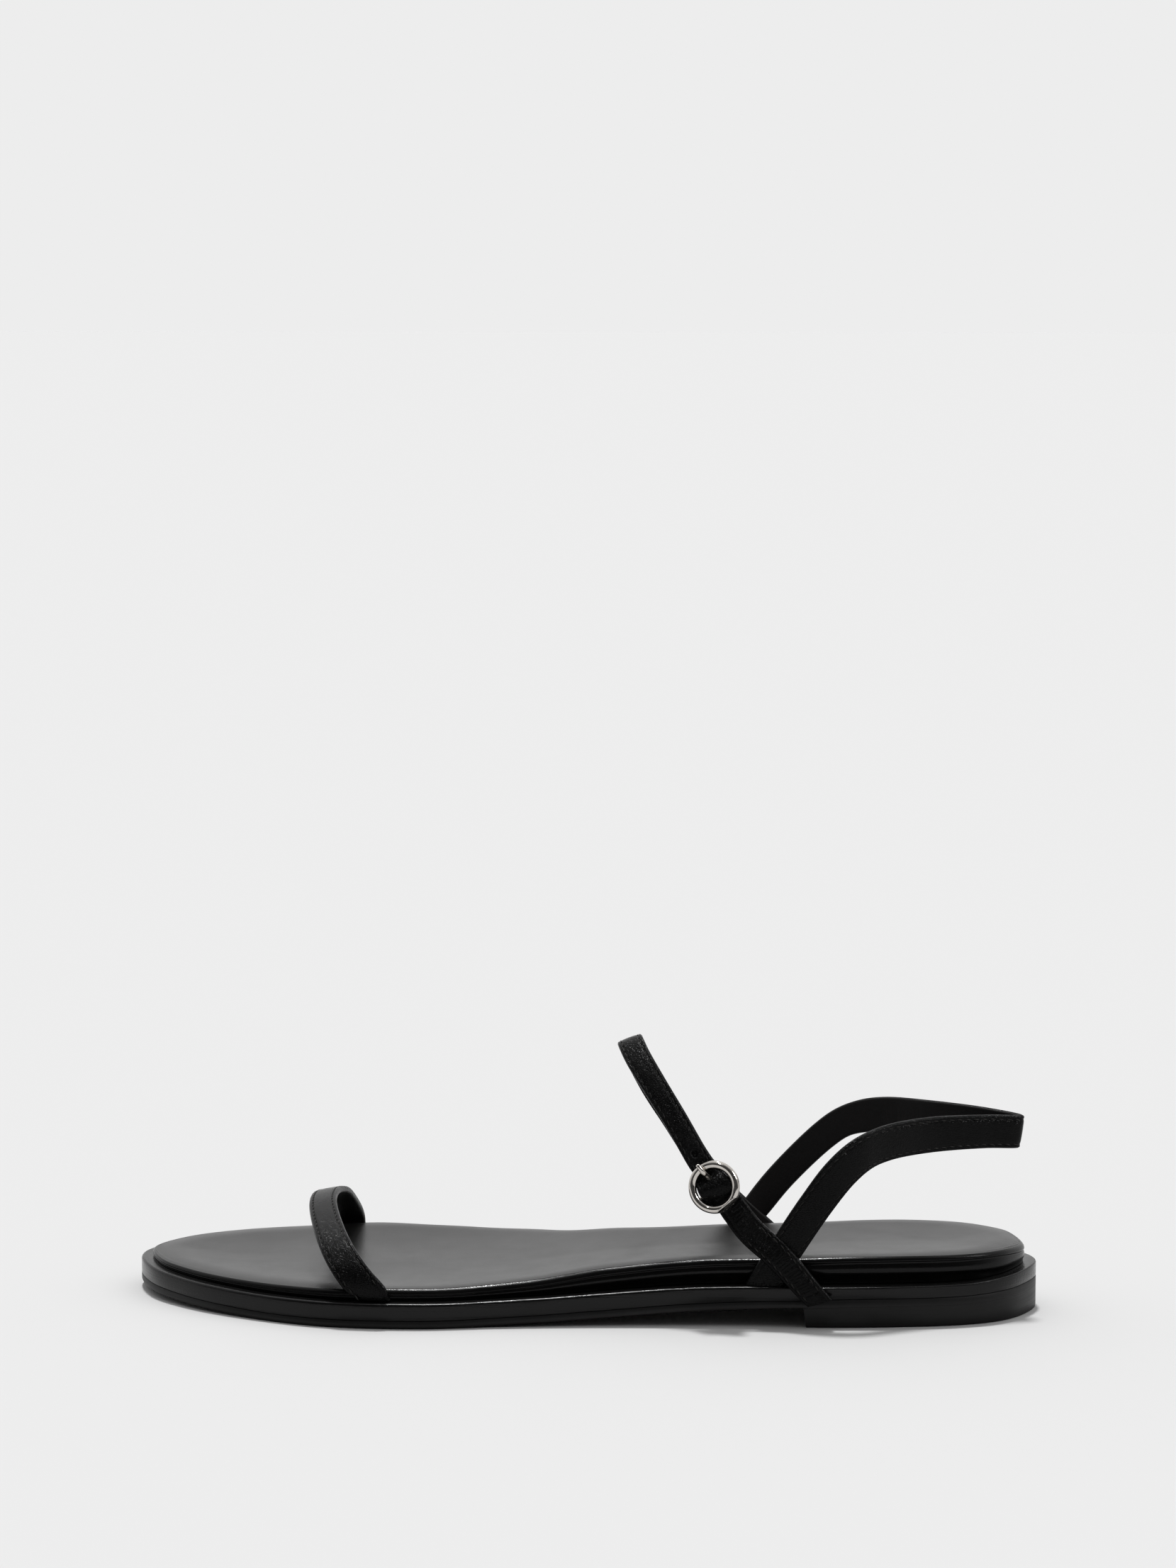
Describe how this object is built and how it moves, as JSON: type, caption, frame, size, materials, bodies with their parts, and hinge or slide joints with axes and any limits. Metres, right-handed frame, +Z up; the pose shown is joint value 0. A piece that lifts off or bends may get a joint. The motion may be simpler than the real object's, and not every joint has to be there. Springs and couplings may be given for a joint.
{
  "type": "flat sandal",
  "caption": "Left open-toe flat sandal with a padded footbed on a stepped leather sole, a narrow toe strap and ankle straps fastened by a ring buckle.",
  "frame": {"origin": "on the floor under the middle of the sandal's bounding box", "axes": "+X along the foot from the toe towards the heel, +Y towards the inner side of the foot, +Z up"},
  "size_m": [0.257, 0.0902, 0.0764],
  "materials": {
    "sole_sheet": "satin black",
    "heel_stack": "satin black",
    "midsole_leather": "polished black edge",
    "footbed_leather": "satin black, fine grain",
    "strap_leather": "glossy black, fine grain",
    "nickel": "polished"
  },
  "bodies": {
    "root": {"outsole": "sole_sheet", "heel": "heel_stack", "midsole": "midsole_leather", "insole": "footbed_leather", "toe_strap": "strap_leather", "ankle_straps": "strap_leather", "buckle_frame": "nickel", "buckle_prong": "nickel"}
  },
  "joints": []
}
